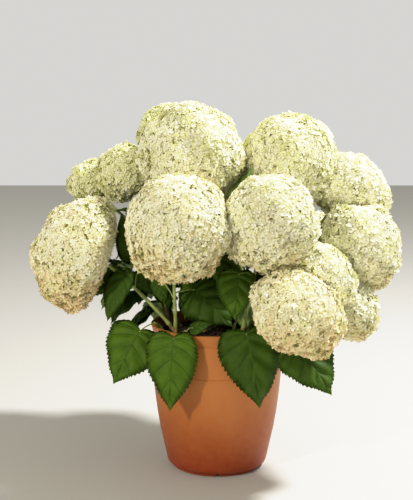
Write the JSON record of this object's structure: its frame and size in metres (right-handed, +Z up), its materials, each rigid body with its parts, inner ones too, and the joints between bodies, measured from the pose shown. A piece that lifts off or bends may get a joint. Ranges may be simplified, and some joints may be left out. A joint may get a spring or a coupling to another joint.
{
  "type": "potted hydrangea shrub",
  "caption": "Mophead hydrangea shrub with large cream flower heads and broad serrated leaves on canes rising from compost in a round tapered plastic pot.",
  "frame": {"origin": "middle of the pot's flat underside", "axes": "+Z up, along the pot's axis; -Y to the front, the side that the picture shows; +X to its right as seen from the front"},
  "size_m": [0.8432, 0.7338, 0.8593],
  "materials": {
    "pot": "satin",
    "soil": "matte",
    "canes": "matte",
    "leaves": "satin",
    "blooms": "matte"
  },
  "bodies": {
    "root": {"bloom_between": "blooms", "bloom_crown_left": "blooms", "bloom_crown_rear": "blooms", "bloom_crown_right": "blooms", "bloom_far_left": "blooms", "bloom_front_left": "blooms", "bloom_front_right": "blooms", "bloom_left": "blooms", "bloom_low_far_right": "blooms", "bloom_low_right": "blooms", "bloom_rear_left": "blooms", "bloom_rear_low_left": "blooms", "bloom_rear_low_right": "blooms", "bloom_rear_right": "blooms", "bloom_rear_top": "blooms", "bloom_right": "blooms", "bloom_right_front": "blooms", "bloom_upper_left": "blooms", "bloom_upper_right": "blooms", "cane_crown_left": "canes", "cane_crown_right": "canes", "cane_front_left": "canes", "cane_front_right": "canes", "cane_left": "canes", "cane_low_right": "canes", "cane_rear_left": "canes", "cane_rear_low_left": "canes", "cane_rear_low_right": "canes", "cane_rear_right": "canes", "cane_rear_top": "canes", "cane_right": "canes", "cane_upper_left": "canes", "cane_upper_right": "canes", "leaves_crown_left": "leaves", "leaves_crown_right": "leaves", "leaves_front_left": "leaves", "leaves_front_right": "leaves", "leaves_left": "leaves", "leaves_low_far_right": "leaves", "leaves_low_front": "leaves", "leaves_low_front_side": "leaves", "leaves_low_middle": "leaves", "leaves_low_rear_one": "leaves", "leaves_low_rear_three": "leaves", "leaves_low_rear_two": "leaves", "leaves_low_right": "leaves", "leaves_low_right_side": "leaves", "leaves_rear_left": "leaves", "leaves_rear_low_left": "leaves", "leaves_rear_low_right": "leaves", "leaves_rear_right": "leaves", "leaves_rear_top": "leaves", "leaves_right": "leaves", "leaves_upper_left": "leaves", "leaves_upper_right": "leaves", "pot": "pot", "soil": "soil"}
  },
  "joints": []
}
